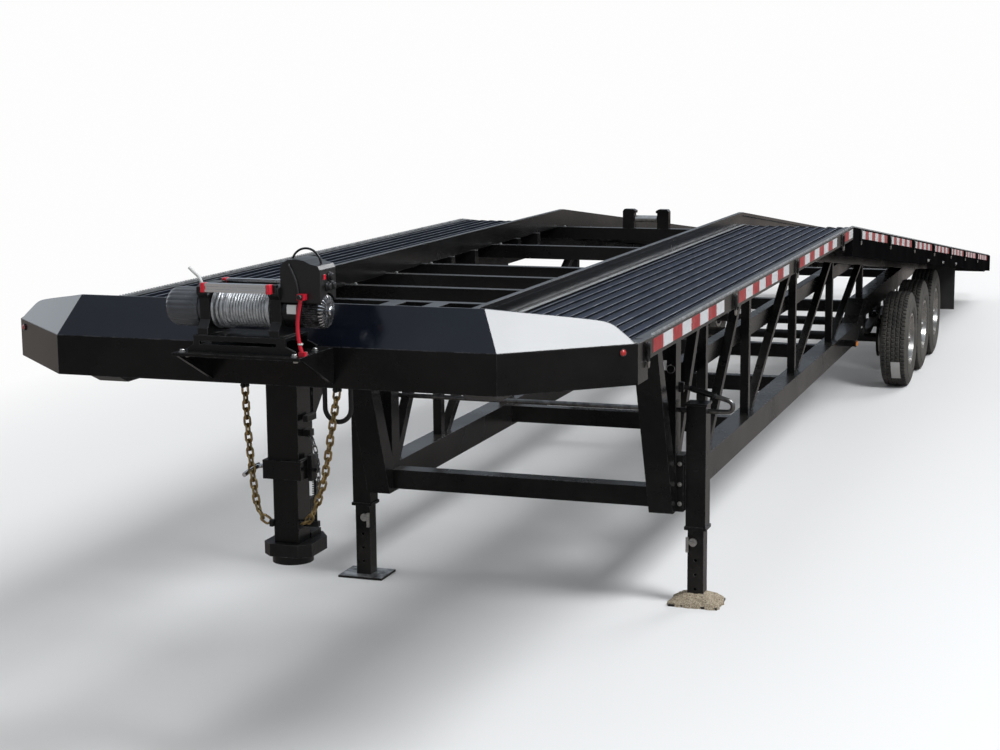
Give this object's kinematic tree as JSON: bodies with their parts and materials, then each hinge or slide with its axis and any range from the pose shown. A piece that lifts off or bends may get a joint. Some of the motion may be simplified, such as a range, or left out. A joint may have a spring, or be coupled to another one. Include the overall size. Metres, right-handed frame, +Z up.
{
  "type": "gooseneck wedge car hauler trailer",
  "caption": "Gooseneck wedge car hauler trailer with two ribbed runways, truss frame, winch, jacks and wheels under the sloping rear deck.",
  "frame": {"origin": "on the ground below the middle of the trailer's length and width", "axes": "+Z up, +Y to the rear, +X to the trailer's left"},
  "size_m": [2.623, 16.43, 2.102],
  "materials": {
    "amber_lens": "amber lens",
    "bare_steel": "plain worn steel",
    "cast_black": "painted casting",
    "deck_plate": "satin blue-black coating",
    "fascia_paint": "gloss black paint with a blue cast",
    "flap_rubber": "matt",
    "frame_paint": "gloss black paint",
    "gold_zinc": "yellow zinc plate",
    "red_lead": "red insulation",
    "red_lens": "red lens",
    "spring_steel": "dull black",
    "tyre_rubber": "matt with dust",
    "wheel_silver": "silver paint",
    "winch_black": "black coated casting",
    "winch_plastic": "gloss black moulding",
    "wire_rope": "grey stranded wire rope"
  },
  "bodies": {
    "frame": {"axles": "frame_paint", "bottom_chords": "frame_paint", "coupler": "cast_black", "coupler_latch": "cast_black", "crossmembers_front": "frame_paint", "crossmembers_rear": "frame_paint", "deck_front": "deck_plate", "deck_rear": "deck_plate", "fascia": "fascia_paint", "front_band": "frame_paint", "front_posts": "frame_paint", "inner_rails_front": "frame_paint", "inner_rails_rear": "frame_paint", "jack_crank": "bare_steel", "jack_housings": "frame_paint", "jack_legs": "frame_paint", "jack_pins": "bare_steel", "leaf_springs": "spring_steel", "lower_cross_tubes": "frame_paint", "marker_lamps": "amber_lens", "mid_beams": "frame_paint", "mudflaps": "flap_rubber", "neck_beams": "frame_paint", "neck_column": "frame_paint", "neck_inner_tube": "frame_paint", "outer_rails_front": "frame_paint", "outer_rails_rear": "frame_paint", "rear_beam": "frame_paint", "roller_bracket": "frame_paint", "safety_chains": "gold_zinc", "spring_equalisers": "frame_paint", "spring_hangers": "frame_paint", "suspension_rails": "frame_paint", "tail_lamps": "red_lens", "tie_down_hooks": "frame_paint", "top_chords_front": "frame_paint", "top_chords_rear": "frame_paint", "truss_diagonals": "frame_paint", "truss_posts": "frame_paint", "winch_control_box": "winch_plastic", "winch_frame": "winch_black", "winch_gearbox": "winch_black", "winch_lead": "red_lead", "winch_motor": "winch_black", "winch_tray": "frame_paint", "wiring_loop": "flap_rubber"},
    "wheel_left_1": {"tyre_left_1": "tyre_rubber", "rim_left_1": "wheel_silver"},
    "wheel_left_2": {"tyre_left_2": "tyre_rubber", "rim_left_2": "wheel_silver"},
    "wheel_left_3": {"tyre_left_3": "tyre_rubber", "rim_left_3": "wheel_silver"},
    "wheel_right_1": {"tyre_right_1": "tyre_rubber", "rim_right_1": "wheel_silver"},
    "wheel_right_2": {"tyre_right_2": "tyre_rubber", "rim_right_2": "wheel_silver"},
    "wheel_right_3": {"tyre_right_3": "tyre_rubber", "rim_right_3": "wheel_silver"},
    "winch_drum": {"winch_drum": "wire_rope"},
    "line_roller": {"line_roller": "bare_steel"}
  },
  "joints": [
    {"name": "wheel_left_1_spin", "type": "hinge", "parent": "frame", "child": "wheel_left_1", "pos_m": [1.042, 1.985, 0.403], "axis": [1, 0, 0], "continuous": true},
    {"name": "wheel_left_2_spin", "type": "hinge", "parent": "frame", "child": "wheel_left_2", "pos_m": [1.042, 2.915, 0.403], "axis": [1, 0, 0], "continuous": true},
    {"name": "wheel_left_3_spin", "type": "hinge", "parent": "frame", "child": "wheel_left_3", "pos_m": [1.042, 3.845, 0.403], "axis": [1, 0, 0], "continuous": true},
    {"name": "wheel_right_1_spin", "type": "hinge", "parent": "frame", "child": "wheel_right_1", "pos_m": [-1.042, 1.985, 0.403], "axis": [1, 0, 0], "continuous": true},
    {"name": "wheel_right_2_spin", "type": "hinge", "parent": "frame", "child": "wheel_right_2", "pos_m": [-1.042, 2.915, 0.403], "axis": [1, 0, 0], "continuous": true},
    {"name": "wheel_right_3_spin", "type": "hinge", "parent": "frame", "child": "wheel_right_3", "pos_m": [-1.042, 3.845, 0.403], "axis": [1, 0, 0], "continuous": true},
    {"name": "winch_drum_spin", "type": "hinge", "parent": "frame", "child": "winch_drum", "pos_m": [0, -8.075, 1.878], "axis": [1, 0, 0], "continuous": true},
    {"name": "line_roller_spin", "type": "hinge", "parent": "frame", "child": "line_roller", "pos_m": [0, -2.53, 1.761], "axis": [1, 0, 0], "continuous": true}
  ]
}
